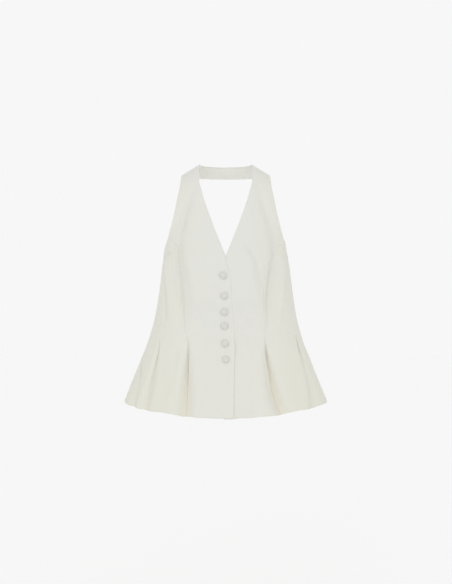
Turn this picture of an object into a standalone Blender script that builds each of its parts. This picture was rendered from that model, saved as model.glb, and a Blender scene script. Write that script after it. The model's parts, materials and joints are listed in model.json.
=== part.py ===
"""A button-front halter waistcoat of ivory cloth, hollow as if worn, with nobody in it.

Metres, +Z up; the front faces -Y and +X is the viewer's right. The origin is halfway between the tops
of the two straps, over the side seams, where a neck or a hanger holds the garment up.
Every size below is in millimetres, and a drop is a distance down from the strap tops.
"""

import math
from collections import namedtuple

import bpy
import numpy as np
from mathutils import Vector

MM = 0.001

# Cloth, seams and layers
WALL = 1.6
SEAM_GAP = 0.3
LAYER_GAP = 0.45
LAP_FULL = 24.0  # the under front lies a full layer in up to here, from the centre front
LAP_END = 52.0  # and is level with the other panels from here
LAP_TOP = 120.0  # the layers part from here down, over LAP_RUN
LAP_RUN = 50.0
UNDER_HANGS = 1.4  # how far the under front's corner shows below the upper one
UNDER_HANGS_FROM = 480.0
EDGE_LIFT = 1.6  # the upper front's free edge stands off a little between the lowest buttons
EDGE_LIFT_DROP = 408.0
EDGE_LIFT_TALL = 22.0
EDGE_LIFT_ACROSS = -8.0  # it starts past the buttons and is full at the edge
EDGE_LIFT_WIDE = 11.0

# Heights
HEM_DROP = 555.6  # at the centre front
RELEASE = 384.0  # where the stitched pleats are let go
UNDERARM = 206.0
PRINCESS_TOP = 179.0
BACK_TOP_DIP = 16.0  # how far the back's top edge sinks towards the centre back

# Straps and neck band
STRAP_IN = 58.0
STRAP_OUT = 99.0
SHOULDER_SLOPE = 0.61
SHOULDER_REACH = 160.0
BAND_TOP_BACK = 62.0
BAND_LOW_BACK = 80.0
BAND_BACK_DROP = 26.0
BAND_START = 0.45  # behind the shoulder seams
STRAP_ROLL = 36.0  # the strap rounds over the shoulder down to here

# Buttons
BUTTON_RADIUS = 7.6
BUTTON_HEIGHT = 4.6
BUTTON_BACK_RADIUS = 5.4
BUTTON_EDGE = 0.9
BUTTON_CLEARANCE = 0.35

# Cross-sections of the worn form. The sides reach half_width, the centre front and the centre back
# reach front and back, and square is the power of the rounded corner between them (2 is an ellipse).
Section = namedtuple("Section", "drop half_width front back square")
SECTIONS = (
    Section(0, 150.0, 0.2, 60, 2.35),
    Section(4, 150.0, 14, 62, 2.35),
    Section(10, 150.0, 25, 64, 2.35),
    Section(20, 150.0, 37, 66, 2.35),
    Section(35, 149.8, 49, 70, 2.35),
    Section(55, 149.5, 60.5, 75, 2.35),
    Section(80, 149.0, 71.5, 80, 2.35),
    Section(110, 148.3, 82, 84, 2.35),
    Section(145, 147.0, 93, 88, 2.35),
    Section(170, 141.0, 99.5, 91, 2.35),
    Section(188, 137.4, 103.5, 92, 2.35),
    Section(206, 139.0, 107, 93, 2.35),
    Section(233, 143.0, 111.5, 94, 2.35),
    Section(262, 146.2, 114, 94, 2.35),
    Section(300, 151.3, 114.3, 93, 2.33),
    Section(341, 158.4, 112.5, 93, 2.31),
    Section(368, 164.9, 111.5, 94, 2.30),
    Section(403, 175.5, 112, 97, 2.28),
    Section(430, 185.4, 116, 103, 2.25),
    Section(470, 198.6, 126.5, 115, 2.22),
    Section(510, 211.4, 139, 129, 2.20),
    Section(535, 220.0, 146.5, 137, 2.19),
    Section(556, 227.8, 153, 144, 2.18),
)

# Edges of the two fronts, as distances from the centre front. Below the end of the V the fronts lap:
# over is the edge of the upper front, past the centre, and under is that of the front beneath it.
Edge = namedtuple("Edge", "drop over under")
FRONT_EDGE = (
    Edge(0, STRAP_IN, STRAP_IN),
    Edge(35, 58.8, 58.8),
    Edge(45, 58.0, 58.0),
    Edge(54, 55.9, 55.9),
    Edge(63, 53.3, 53.3),
    Edge(82, 48.2, 48.2),
    Edge(100, 42.2, 42.2),
    Edge(117, 36.2, 36.2),
    Edge(135, 29.6, 29.6),
    Edge(153, 22.8, 22.8),
    Edge(170, 16.1, 16.1),
    Edge(188, 8.8, 8.8),
    Edge(211, 0.0, -0.4),
    Edge(233, -3.5, -9.0),
    Edge(261, -11.2, -15.5),
    Edge(304, -13.6, -15.5),
    Edge(397, -19.6, -13.0),
    Edge(480, -18.4, -8.0),
    Edge(556, -17.2, -3.5),
)

# The armhole's edge, then the princess seam, as distances from the centre front. The cloth hangs a
# little unevenly, so the two sides differ. right and left are the wearer's.
Seam = namedtuple("Seam", "drop right left")
SIDE_EDGE = (
    Seam(0, STRAP_OUT, STRAP_OUT),
    Seam(12, 99.8, 99.8),
    Seam(24, 100.9, 100.9),
    Seam(36, 101.6, 101.6),
    Seam(48, 103.1, 103.1),
    Seam(70, 106.8, 106.8),
    Seam(92, 110.2, 110.2),
    Seam(113, 113.9, 113.9),
    Seam(134, 118.4, 118.4),
    Seam(151, 123.3, 123.3),
    Seam(168, 128.9, 128.9),
    Seam(PRINCESS_TOP, 132.2, 132.2),
    Seam(187, 126.0, 118.0),
    Seam(196, 117.0, 105.0),
    Seam(209, 106.2, 92.5),
    Seam(224, 99.3, 85.0),
    Seam(250, 95.4, 83.4),
    Seam(283, 92.4, 83.6),
    Seam(330, 90.8, 84.2),
    Seam(369, 88.5, 85.0),
    Seam(399, 81.4, 86.6),
    Seam(431, 81.2, 89.6),
    Seam(460, 82.3, 95.0),
    Seam(487, 84.0, 99.9),
    Seam(514, 86.0, 106.0),
    Seam(533, 87.2, 113.0),
    Seam(556, 88.6, 124.0),
)

# The top edge of a side panel, from the end of the armhole's front down to the underarm.
Rim = namedtuple("Rim", "share drop")
SIDE_TOP = (
    Rim(0.0, PRINCESS_TOP),
    Rim(0.3, 186.0),
    Rim(0.6, 197.5),
    Rim(1.0, UNDERARM),
)

# The hem rises from the centre front to the sides and sinks a little again to the back.
# It hangs a little lower beside the inner pleats, not quite alike on the wearer's right and left.
Hem = namedtuple("Hem", "angle right left")
HEM = (
    Hem(0, 555.2, 555.2),
    Hem(12, 554.0, 553.9),
    Hem(17, 552.8, 551.6),
    Hem(22, 552.6, 550.4),
    Hem(26, 548.8, 550.0),
    Hem(30, 545.6, 550.2),
    Hem(35, 544.4, 545.8),
    Hem(40, 544.0, 542.3),
    Hem(45, 543.6, 540.4),
    Hem(52, 540.8, 540.0),
    Hem(58, 538.6, 539.2),
    Hem(65, 536.2, 535.2),
    Hem(75, 534.0, 533.6),
    Hem(90, 533.0, 533.0),
    Hem(130, 536.0, 536.0),
    Hem(180, 540.0, 540.0),
)

# Pleats let go at the waist. Angles run from the centre front round each side, at the waist, halfway
# down and at the hem; lean says which way the soft ridge beside the fold lies (1 is towards the back).
Pleat = namedtuple("Pleat", "name side start waist middle hem depth width lean")
PLEATS = (
    Pleat("outer_right", -1, 388, 54.5, 50.6, 48.8, 6.5, 13.0, 1),
    Pleat("outer_left", 1, 382, 63.4, 62.6, 57.5, 7.0, 16.0, -1),
    Pleat("side_right", -1, 425, 85.0, 69.5, 61.5, 5.0, 11.0, 1),
    Pleat("back_outer_right", -1, 388, 121.0, 123.0, 126.0, 8.0, 14.0, -1),
    Pleat("back_outer_left", 1, 388, 121.0, 123.0, 126.0, 8.0, 14.0, -1),
    Pleat("back_inner_right", -1, 388, 150.0, 151.0, 153.0, 10.0, 15.0, -1),
    Pleat("back_inner_left", 1, 388, 150.0, 151.0, 153.0, 10.0, 15.0, -1),
)
SEAM_PLEAT_DEPTH = 11.0
SEAM_PLEAT_WIDTH = 15.0
PLEAT_TOP_WIDTH = 4.8
PLEAT_OPENS = 45.0  # a pleat's first quarter opens over this drop, and the rest over the next
PLEAT_FULL = 165.0
PLEAT_FIRST = 0.25
RIDGE_HEIGHT = 0.5  # the ridge beside a pleat, as shares of the pleat's depth and half width
RIDGE_AWAY = 1.9
RIDGE_WIDTH = 1.1
WAIST_DROP = 397.0
MIDDLE_DROP = 475.0

# Soft swells and creases in the worn cloth. Each runs through its stops, from one row to the next of
# the same fold: a place as angle and drop, its height there (a crease is below nought) and half width.
Stop = namedtuple("Stop", "fold side angle drop height width")
STOPS = (
    Stop("bust_right", -1, 17, 222, 5.0, 32),
    Stop("bust_right", -1, 18, 290, 4.0, 30),
    Stop("bust_left", 1, 15, 222, 5.0, 30),
    Stop("bust_left", 1, 15, 288, 4.0, 28),
    Stop("valley_right", -1, 25, 60, -1.0, 9),
    Stop("valley_right", -1, 30, 94, -2.6, 10),
    Stop("valley_right", -1, 37, 141, -5.0, 12),
    Stop("valley_right", -1, 46, 182, -7.0, 13),
    Stop("valley_right", -1, 45, 209, -7.0, 13),
    Stop("valley_right", -1, 38, 244, -6.0, 12),
    Stop("valley_right", -1, 34, 283, -4.0, 10),
    Stop("valley_right", -1, 31, 330, -2.6, 8),
    Stop("valley_right", -1, 28, 372, -1.4, 7),
    Stop("valley_left", 1, 26, 59, -1.0, 9),
    Stop("valley_left", 1, 30, 97, -2.2, 10),
    Stop("valley_left", 1, 38, 141, -4.0, 13),
    Stop("valley_left", 1, 47, 180, -5.0, 15),
    Stop("valley_left", 1, 48, 208, -5.0, 15),
    Stop("valley_left", 1, 40, 240, -4.0, 12),
    Stop("valley_left", 1, 33, 276, -3.0, 8),
    Stop("valley_left", 1, 30, 326, -2.0, 7),
    Stop("side_trough_left", 1, 53, 262, -2.0, 9),
    Stop("side_trough_left", 1, 47, 304, -3.0, 9),
    Stop("side_trough_left", 1, 40, 337, -2.8, 9),
    Stop("side_trough_left", 1, 31, 371, -1.6, 8),
    Stop("side_fold_right", -1, 68, 262, -1.6, 8),
    Stop("side_fold_right", -1, 58, 305, -2.6, 8),
    Stop("side_fold_right", -1, 54, 342, -1.4, 8),
    Stop("back_swell", -1, 172, 300, 3.0, 60),
    Stop("back_swell", -1, 188, 340, 3.0, 60),
    Stop("back_valley_right", -1, 106, 236, -2.0, 12),
    Stop("back_valley_right", -1, 114, 290, -4.0, 13),
    Stop("back_valley_right", -1, 124, 350, -2.0, 10),
    Stop("back_valley_left", 1, 108, 244, -1.6, 12),
    Stop("back_valley_left", 1, 117, 300, -3.6, 13),
    Stop("back_valley_left", 1, 122, 356, -1.8, 10),
)

# The covered buttons, as places on the upper front: across from the centre front, and drop.
Button = namedtuple("Button", "across drop")
BUTTONS = (
    Button(-5.2, 251.6),
    Button(-2.6, 295.5),
    Button(-2.6, 330.3),
    Button(-2.6, 360.2),
    Button(-1.5, 398.0),
    Button(0.0, 432.1),
)

IVORY = "E6E5DD"
IVORY_BUTTON = "DEDDD3"


def smooth(share):
    """A soft step from 0 to 1."""
    share = np.clip(share, 0.0, 1.0)
    return share * share * (3 - 2 * share)


def column(table, name):
    return np.array([getattr(row, name) for row in table], float)


def curve(keys, values, at):
    """A smooth line through a table's values, with no bulge past them."""
    step = np.diff(keys)
    rise = np.diff(values) / step
    before, after = rise[:-1], rise[1:]
    total = before + after
    safe = np.where(total == 0, 1.0, total)
    middle = np.where(before * after > 0, 2 * before * after / safe, 0.0)
    slope = np.concatenate([rise[:1], middle, rise[-1:]])
    at = np.clip(np.asarray(at, float), keys[0], keys[-1])
    i = np.clip(np.searchsorted(keys, at, "right") - 1, 0, len(step) - 1)
    t = (at - keys[i]) / step[i]
    start = (1 + 2 * t) * (1 - t) ** 2 * values[i] + t * (1 - t) ** 2 * step[i] * slope[i]
    end = t * t * (3 - 2 * t) * values[i + 1] + t * t * (t - 1) * step[i] * slope[i + 1]
    return start + end


def look_up(table, key, name, at):
    return curve(column(table, key), column(table, name), at)


def section(drop):
    """The cross-section at a drop. Square roots make the straps roll over level at the shoulder."""
    keys = np.sqrt(column(SECTIONS, "drop"))
    at = np.sqrt(np.maximum(drop, 0.0))
    return [curve(keys, column(SECTIONS, name), at) for name in Section._fields[1:]]


def angle_of(across, drop):
    """The section angle, in degrees, of a distance from the centre on the front half."""
    half_width, _, _, square = section(drop)
    share = np.clip(np.abs(across) / half_width, 0.0, 1.0)
    return np.degrees(np.arcsin(share ** (square / 2))) * np.sign(across)


def seam_angle(side, drop):
    name = "right" if side < 0 else "left"
    return angle_of(look_up(SIDE_EDGE, "drop", name, drop), drop)


def pleat_angle(pleat, drop):
    keys = np.array([WAIST_DROP, MIDDLE_DROP, HEM_DROP])
    return curve(keys, np.array([pleat.waist, pleat.middle, pleat.hem], float), drop)


def pleat_shape(away, start, drop, depth, width, lean):
    """A let-go pleat across its length: a trough, sharp at the top and wide at the hem, and the
    soft ridge that its spare cloth makes on one side."""
    below = drop - start
    grown = PLEAT_FIRST * smooth(below / PLEAT_OPENS) + (1 - PLEAT_FIRST) * smooth(below / PLEAT_FULL)
    opened = np.clip(below / (HEM_DROP - start), 0, 1)
    half = PLEAT_TOP_WIDTH + (width - PLEAT_TOP_WIDTH) * opened
    trough = np.exp(-((away / half) ** 2))
    ridge = np.exp(-(((away - RIDGE_AWAY * lean * half) / (RIDGE_WIDTH * half)) ** 2))
    return depth * grown * (RIDGE_HEIGHT * ridge - trough)


def fold_shape(stops, here, drop, per_degree):
    """The height of a swell or crease at a place, by the nearest point of the line through its stops."""
    nearest = np.full(np.shape(here), np.inf)
    height = np.zeros(np.shape(here))
    for first, last in zip(stops, stops[1:]):
        run = (last.angle - first.angle) * per_degree
        fall = last.drop - first.drop
        over = (here - first.angle) * per_degree
        down = drop - first.drop
        share = np.clip((over * run + down * fall) / (run * run + fall * fall), 0, 1)
        width = first.width + share * (last.width - first.width)
        apart = np.hypot(over - share * run, down - share * fall) / width
        closer = apart < nearest
        nearest = np.where(closer, apart, nearest)
        height = np.where(closer, first.height + share * (last.height - first.height), height)
    return height * np.exp(-(nearest**2))


def relief(angle, drop):
    """How far the cloth stands out from the plain form, in mm, at a signed angle and a drop."""
    half_width, front, _, _ = section(drop)
    per_degree = math.radians(1) * (half_width + front) / 2
    angle, drop, per_degree = np.broadcast_arrays(angle, drop, per_degree)
    total = np.zeros(angle.shape)
    for side in (-1, 1):
        here = np.mod(angle * side + 90, 360) - 90
        away = (here - seam_angle(side, drop)) * per_degree
        total += pleat_shape(away, RELEASE, drop, SEAM_PLEAT_DEPTH, SEAM_PLEAT_WIDTH, -side)
        for pleat in PLEATS:
            if pleat.side == side:
                away = (here - pleat_angle(pleat, drop)) * per_degree
                total += pleat_shape(away, pleat.start, drop, pleat.depth, pleat.width, pleat.lean)
        for name in sorted({stop.fold for stop in STOPS if stop.side == side}):
            stops = [stop for stop in STOPS if stop.fold == name]
            total += fold_shape(stops, here, drop, per_degree)
    return total


def skin(angle, drop, out=0.0):
    """The outer face of the cloth in mm, at an angle from the centre front (the viewer's right is
    positive) and a drop, moved out by a distance."""
    half_width, front, back, square = section(drop)
    turn = np.radians(angle)
    sine, cosine = np.sin(turn), np.cos(turn)
    reach = np.where(cosine > 0, front, back)
    wide = np.abs(sine) ** (2 / square)
    deep = np.abs(cosine) ** (2 / square)
    x = half_width * wide * np.sign(sine)
    y = -reach * deep * np.sign(cosine)
    normal_x = wide ** (square - 1) / half_width * np.sign(sine)
    normal_y = -(deep ** (square - 1)) / reach * np.sign(cosine)
    size = np.hypot(normal_x, normal_y)
    moved = relief(angle, drop) + out
    slope = SHOULDER_SLOPE * np.maximum(np.abs(x) - STRAP_IN, 0)
    slope = slope * np.clip(1 - drop / SHOULDER_REACH, 0, 1) ** 2
    turned = np.mod(angle + 180, 360) - 180
    hems = [look_up(HEM, "angle", name, np.abs(turned)) for name in ("right", "left")]
    lift = HEM_DROP - np.where(turned < 0, hems[0], hems[1])
    lift = lift * smooth((drop - WAIST_DROP) / (HEM_DROP - WAIST_DROP))
    x = x + moved * normal_x / size
    y = y + moved * normal_y / size
    return np.stack([x, y, -drop - slope + lift], axis=-1)


def spread(stops, counts):
    """Shares between stops that lie closer together near each stop."""
    found = [stops[0]]
    for start, end, count in zip(stops, stops[1:], counts):
        share = np.arange(1, count + 1) / count
        share = share + 0.1 * np.sin(2 * math.pi * share) * -1
        found.extend(start + (end - start) * share)
    return np.array(found)


def linear(hex_colour):
    """A screen colour as the linear values that Blender's shader takes."""
    shares = [int(hex_colour[i : i + 2], 16) / 255 for i in (0, 2, 4)]
    return [s / 12.92 if s <= 0.04045 else ((s + 0.055) / 1.055) ** 2.4 for s in shares]


def cloth_material(name, colour):
    material = bpy.data.materials.new(name)
    material.use_nodes = True
    shader = material.node_tree.nodes["Principled BSDF"]
    shader.inputs["Base Color"].default_value = (*linear(colour), 1)
    shader.inputs["Roughness"].default_value = 0.85
    shader.inputs["Metallic"].default_value = 0.0
    return material


def cloth_panel(name, points, material, parts):
    """One cut piece: a grid of points on its outer face, given a wall by Solidify."""
    rows, columns = points.shape[:2]
    index = np.arange(rows * columns).reshape(rows, columns)
    faces = [
        (index[r, c], index[r + 1, c], index[r + 1, c + 1], index[r, c + 1])
        for r in range(rows - 1)
        for c in range(columns - 1)
    ]
    mesh = bpy.data.meshes.new(name)
    mesh.from_pydata((points.reshape(-1, 3) * MM).tolist(), [], faces)
    mesh.materials.append(material)
    obj = bpy.data.objects.new(name, mesh)
    parts.objects.link(obj)
    mesh.shade_smooth()
    wall = obj.modifiers.new("wall", "SOLIDIFY")
    wall.thickness = WALL * MM
    wall.offset = -1
    wall.use_even_offset = False
    return obj


def facing_out(points, side):
    """The columns run the other way on the viewer's left, so that the faces still look outwards."""
    return points if side > 0 else points[:, ::-1]


def runs(*spans):
    """Rows from span to span, each given as its start, its end and the number of steps between."""
    found = [np.linspace(start, end, steps, endpoint=False) for start, end, steps in spans]
    return np.concatenate([*found, [spans[-1][1]]])


def body_rows():
    """The drops that every panel beside a princess seam shares: close together where it curves in
    at the armhole and where the pleats are let go."""
    return runs((PRINCESS_TOP, 207, 4), (207, 240, 3), (240, RELEASE, 8), (RELEASE, 430, 6), (430, HEM_DROP, 9))


def front_points(side):
    """A front, from its shoulder seam to the hem and from its centre edge to the princess seam."""
    over = side < 0
    strap = STRAP_ROLL * np.linspace(0, 1, 7) ** 2
    middle = runs((STRAP_ROLL, PRINCESS_TOP, 11))[1:-1]
    drops = np.concatenate([strap, middle, body_rows()])[:, None]
    shares = 1 - np.linspace(1, 0, 12)[None, :] ** 1.35
    inner = look_up(FRONT_EDGE, "drop", "over" if over else "under", drops)
    outer = look_up(SIDE_EDGE, "drop", "right" if over else "left", drops)
    outer = outer - SEAM_GAP / 2 * smooth((drops - PRINCESS_TOP + 8) / 8)
    across = inner + (outer - inner) * shares
    if over:
        layer = EDGE_LIFT * smooth((EDGE_LIFT_ACROSS - across) / EDGE_LIFT_WIDE)
        layer = layer * np.exp(-(((drops - EDGE_LIFT_DROP) / EDGE_LIFT_TALL) ** 2))
    else:
        layer = -(WALL + LAYER_GAP) * smooth((LAP_END - across) / (LAP_END - LAP_FULL))
        layer = layer * smooth((drops - LAP_TOP) / LAP_RUN)
    points = skin(angle_of(across, drops) * side, drops, layer)
    if not over:
        hangs = smooth((LAP_FULL + 4 - across) / 8) * smooth((drops - UNDER_HANGS_FROM) / 70)
        points[..., 2] -= UNDER_HANGS * hangs
    return facing_out(points, side)


def side_seam(drop, reach):
    """How many degrees short of the side seam a piece stops, for half the gap there."""
    square = section(drop)[3]
    return np.degrees((SEAM_GAP / 2 / reach) ** (square / 2))


def side_points(side):
    """A side panel, from the princess seam round to the side seam. From the waist down its columns
    follow the pleats; above, they stand at even shares of the way round."""
    pleats = [pleat for pleat in PLEATS if pleat.side == side and pleat.hem < 90]
    pleats.sort(key=lambda pleat: pleat.hem)
    name = "right" if side < 0 else "left"
    waist_start = float(seam_angle(side, WAIST_DROP))
    points = []
    for drop in body_rows():
        seam = look_up(SIDE_EDGE, "drop", name, drop) + SEAM_GAP / 2
        start = float(angle_of(seam, drop))
        end = 90 - float(side_seam(drop, section(drop)[1]))
        stops = [0.0]
        for pleat in pleats:
            above = (pleat.waist - waist_start) / (90 - waist_start)
            share = (float(pleat_angle(pleat, drop)) - start) / (end - start)
            stops.append(float(above + (share - above) * smooth((drop - 330) / (RELEASE - 330))))
        stops.append(1.0)
        shares = spread(stops, [8, 8] if len(pleats) == 1 else [8, 6, 4])
        top = look_up(SIDE_TOP, "share", "drop", shares)
        row = (drop - PRINCESS_TOP) / (HEM_DROP - PRINCESS_TOP)
        points.append(skin((start + (end - start) * shares) * side, top + (HEM_DROP - top) * row))
    return facing_out(np.array(points), side)


def back_points():
    """The back, from one side seam to the other."""
    short = float(side_seam(300, section(300)[2]))
    rows = runs((0, 0.5, 8), (0.5, 1, 13))[:, None]
    middle = sorted(pleat.middle for pleat in PLEATS if pleat.side > 0 and pleat.hem > 90)
    stops = [90 + short, *middle, 180, *(360 - at for at in reversed(middle)), 270 - short]
    angles = spread(stops, [7, 6, 5, 5, 6, 7])[None, :]
    top = UNDERARM + BACK_TOP_DIP * np.sin(np.radians(angles - 90)) ** 2
    return skin(angles + 0 * rows, top + (HEM_DROP - top) * rows)


def band_points():
    """The neck band, from one shoulder seam round the back of the neck to the other."""
    turn = np.linspace(0, math.pi, 33)[None, :]
    share = np.linspace(0, 1, 5)[:, None]
    drop_out = SHOULDER_SLOPE * (STRAP_OUT - STRAP_IN)
    across = STRAP_IN + (STRAP_OUT - STRAP_IN) * share
    behind = BAND_TOP_BACK + (BAND_LOW_BACK - BAND_TOP_BACK) * share
    low = drop_out + (BAND_BACK_DROP - drop_out) * np.sin(turn) ** 2
    x = across * np.cos(turn)
    y = BAND_START + behind * np.sin(turn)
    return np.stack([x, y, -low * share + 0 * x], axis=-1)


def covered_button(number, place, material, parts):
    """A flat-backed dome, turned from its profile, standing square on the upper front."""
    profile = [(0.0, 0.0), (BUTTON_BACK_RADIUS, 0.0), (BUTTON_RADIUS - 0.4, BUTTON_EDGE / 2)]
    for step in range(7):
        turn = math.radians(90 * step / 6)
        rise = (BUTTON_HEIGHT - BUTTON_EDGE) * math.sin(turn)
        profile.append((BUTTON_RADIUS * math.cos(turn), BUTTON_EDGE + rise))
    profile[-1] = (0.0, BUTTON_HEIGHT)
    mesh = bpy.data.meshes.new(f"button_{number}")
    corners = [(radius * MM, 0, height * MM) for radius, height in profile]
    mesh.from_pydata(corners, [(i, i + 1) for i in range(len(corners) - 1)], [])
    mesh.materials.append(material)
    obj = bpy.data.objects.new(f"button_{number}", mesh)
    parts.objects.link(obj)
    turned = obj.modifiers.new("turned", "SCREW")
    turned.axis = "Z"
    turned.angle = 2 * math.pi
    turned.steps = 20
    turned.render_steps = 20
    turned.use_merge_vertices = True
    turned.merge_threshold = 0.00001
    turned.use_smooth_shade = True
    turned.use_normal_calculate = True
    angle = angle_of(np.array(place.across), np.array(place.drop))
    here = skin(angle, np.array(place.drop))
    round_it = skin(angle + 1, np.array(place.drop)) - skin(angle - 1, np.array(place.drop))
    down_it = skin(angle, np.array(place.drop + 3)) - skin(angle, np.array(place.drop - 3))
    normal = Vector(np.cross(down_it, round_it)).normalized()
    if normal.y > 0:
        normal = -normal
    obj.location = (Vector(here) + normal * BUTTON_CLEARANCE) * MM
    obj.rotation_euler = normal.to_track_quat("Z", "Y").to_euler()
    return obj


def clear_scene():
    for obj in list(bpy.data.objects):
        bpy.data.objects.remove(obj, do_unlink=True)
    for block in (bpy.data.meshes, bpy.data.materials):
        for item in list(block):
            block.remove(item)


def main():
    clear_scene()
    parts = bpy.data.collections.new("halter_waistcoat")
    bpy.context.scene.collection.children.link(parts)
    pieces = {
        "front_right": front_points(-1),
        "front_left": front_points(1),
        "side_right": side_points(-1),
        "side_left": side_points(1),
        "back": back_points(),
        "neck_band": band_points(),
    }
    for name, points in pieces.items():
        cloth_panel(name, points, cloth_material(name, IVORY), parts)
    for number, place in enumerate(BUTTONS, 1):
        material = cloth_material(f"button_{number}", IVORY_BUTTON)
        covered_button(number, place, material, parts)


if __name__ == "__main__":
    main()
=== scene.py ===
"""Cloth, covered buttons, light and camera for a hollow halter waistcoat top of ivory cloth.

Metres in Blender, +Z up, the front faces -Y and +X is the viewer's right. The form tables below are in
millimetres and repeat the part's own: a drop is a distance down from the strap tops, and an angle runs
in degrees from the centre front, towards the viewer's right where it is above nought.
"""

import json
import math
from collections import namedtuple

import bpy
import numpy as np
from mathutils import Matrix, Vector

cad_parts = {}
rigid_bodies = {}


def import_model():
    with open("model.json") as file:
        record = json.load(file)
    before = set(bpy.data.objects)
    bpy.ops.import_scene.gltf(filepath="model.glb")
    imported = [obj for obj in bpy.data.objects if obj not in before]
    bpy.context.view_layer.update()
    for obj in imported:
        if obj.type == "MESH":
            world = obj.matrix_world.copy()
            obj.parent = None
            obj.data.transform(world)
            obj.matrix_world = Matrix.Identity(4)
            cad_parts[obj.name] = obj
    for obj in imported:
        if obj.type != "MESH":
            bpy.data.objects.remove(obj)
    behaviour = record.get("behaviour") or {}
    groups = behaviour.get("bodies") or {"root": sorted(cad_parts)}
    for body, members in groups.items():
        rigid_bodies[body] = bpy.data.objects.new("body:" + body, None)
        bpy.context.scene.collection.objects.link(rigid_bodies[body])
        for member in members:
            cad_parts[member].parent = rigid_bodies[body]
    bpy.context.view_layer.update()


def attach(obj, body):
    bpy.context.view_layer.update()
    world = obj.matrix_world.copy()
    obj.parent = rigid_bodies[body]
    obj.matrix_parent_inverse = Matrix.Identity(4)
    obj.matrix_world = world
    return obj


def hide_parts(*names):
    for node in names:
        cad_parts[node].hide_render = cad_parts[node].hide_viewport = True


for default in list(bpy.data.objects):
    bpy.data.objects.remove(default, do_unlink=True)
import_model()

bl_info = {
    "name": "Halter Waistcoat Top",
    "version": (1, 0, 0),
    "blender": (4, 5, 0),
    "location": "View3D > Sidebar > Waistcoat",
    "description": "Builds the cloth, covered buttons and studio of a halter waistcoat top",
    "category": "Object",
}

MM = 0.001
BODY = "root"

# Layers of cloth
LAP_FULL = 24.0  # the under front lies a full layer in up to here, from the centre front
LAP_END = 52.0  # and is level with the other panels from here
LAP_TOP = 120.0  # the layers part from here down, over LAP_RUN
LAP_RUN = 50.0
LAP_GAP = 0.3  # between the two fronts' cloth
UNDER_HANGS = 1.4  # how far the under front's corner shows below the upper one
UNDER_HANGS_FROM = 480.0
UNDER_HANGS_RUN = 70.0
UNDER_HANGS_ACROSS = 28.0  # the corner is the part nearer the centre front than this
UNDER_HANGS_WIDE = 8.0
EDGE_LIFT = 1.6  # the upper front's free edge stands off a little between the lowest buttons
EDGE_LIFT_DROP = 408.0
EDGE_LIFT_TALL = 22.0
EDGE_LIFT_ACROSS = -8.0  # it starts past the buttons and is full at the edge
EDGE_LIFT_WIDE = 11.0
EDGE_LIFT_BELOW = 0.4  # the share of it that stays from EDGE_LIFT_FROM down to the hem
EDGE_LIFT_FROM = 380.0
EDGE_LIFT_RUN = 50.0

# Edges and seams: how far an edge rolls in, and the low bank that pressing leaves beside it
LAPPED_ROLL = 1.1
LAPPED_WIDE = 4.0
TURN_BANK = 0.22
TURN_BANK_AWAY = 7.0
TURN_BANK_WIDE = 5.0
SEAM_BANK = 0.25
SEAM_BANK_AWAY = 6.0
SEAM_BANK_WIDE = 3.0
SEAM_GAP = 0.02  # degrees, to each side of a seam
SEAM_BLEND = 7.0  # the armhole's turned edge passes into the seam over this drop
CORNER_BLEND = 9.0  # and a side panel's top edge starts over this length
PUCKER_PITCHES = (17.0, 21.0)  # along the princess seam, then the side seam
PUCKER_REACH = 6.0  # the gathers fade over this from the seam
PUCKER_CLEAR = 2.0  # and start past its sunk line
SECOND_PUCKER = 0.6  # a second, longer run of gathers makes them uneven
SECOND_PITCH = 1.63

# Heights
HEM_DROP = 555.6
RELEASE = 384.0  # where the stitched pleats are let go
UNDERARM = 206.0
PRINCESS_TOP = 179.0
BACK_TOP_DIP = 16.0
SIDE_SEAM = 90.0  # degrees

# Straps and neck band
STRAP_IN = 58.0
STRAP_OUT = 99.0
SHOULDER_SLOPE = 0.61
SHOULDER_REACH = 160.0
SHOULDER_GAP = 0.06
BAND_TOP_BACK = 62.0
BAND_LOW_BACK = 80.0
BAND_BACK_DROP = 26.0
BAND_RIPPLE = 0.5
STRAP_ROLL = 36.0

# Warm bounce light is painted into a fold's cloth from FOLD_STARTS mm below the open cloth, fully so at
# FOLD_FULL. That starts at the drop FOLD_FROM, over FOLD_RUN, where the cloth of the pleats lies doubled.
FOLD_STARTS = 2.0
FOLD_FULL = 10.0
FOLD_FROM = 265.0
FOLD_RUN = 110.0

# The covered buttons
BUTTON_CLEARANCE = 0.35
BUTTON_RIM = 1.3  # how high the widest round is
BUTTON_UNDER = 38.0  # how far the cloth turns under the rim, in degrees
BUTTON_CROWN = 1.7  # the crown's roundness, then the flank's
BUTTON_FLANK = 1.05
BUTTON_ROUNDS = 26
BUTTON_SPOKES = 72
RIM_FROM = 0.8  # the gathers start at this share of the radius
CROWN_UNEVEN = 0.06
DIMPLE = 0.35  # each button draws the cloth beside it in a little, in a ring that is wider than tall
DIMPLE_AWAY = 14.0
DIMPLE_WIDE = 12.0
DIMPLE_FLAT = 3.0

# Light, floor and camera, in metres
SOFTBOX_PLACE = (-0.45, -2.4, 0.9)
SOFTBOX_AIM = (0.0, 0.0, -0.28)
SOFTBOX_SIZE = 1.1
FLOOR_REACH = 12.0
CAMERA_ACROSS = 0.0007

# Points across each panel, and down the rolled strap and the band
FRONT_COLUMNS = 70
SIDE_COLUMNS = 150
BACK_COLUMNS = 260
BAND_COLUMNS = 150
BAND_ROWS = 26
STRAP_ROWS = 22
# They crowd together at the panel's ends and at the pressed lines
END_BOOST = 5.0
END_REACH = 0.03
LINE_BOOST = 6.0
LINE_REACH = 2.6

# Rows of points down a panel: a start, an end and the steps between, as drops and for the back as shares
ROWS = ((PRINCESS_TOP, 215, 50), (215, RELEASE, 74), (RELEASE, 440, 30), (440, 552, 44), (552, HEM_DROP, 6))
STRAP_SPAN = (STRAP_ROLL, PRINCESS_TOP, 62)
BACK_ROWS = ((0, 0.02, 6), (0.02, 0.5, 60), (0.5, 0.985, 70), (0.985, 1, 6))


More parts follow.
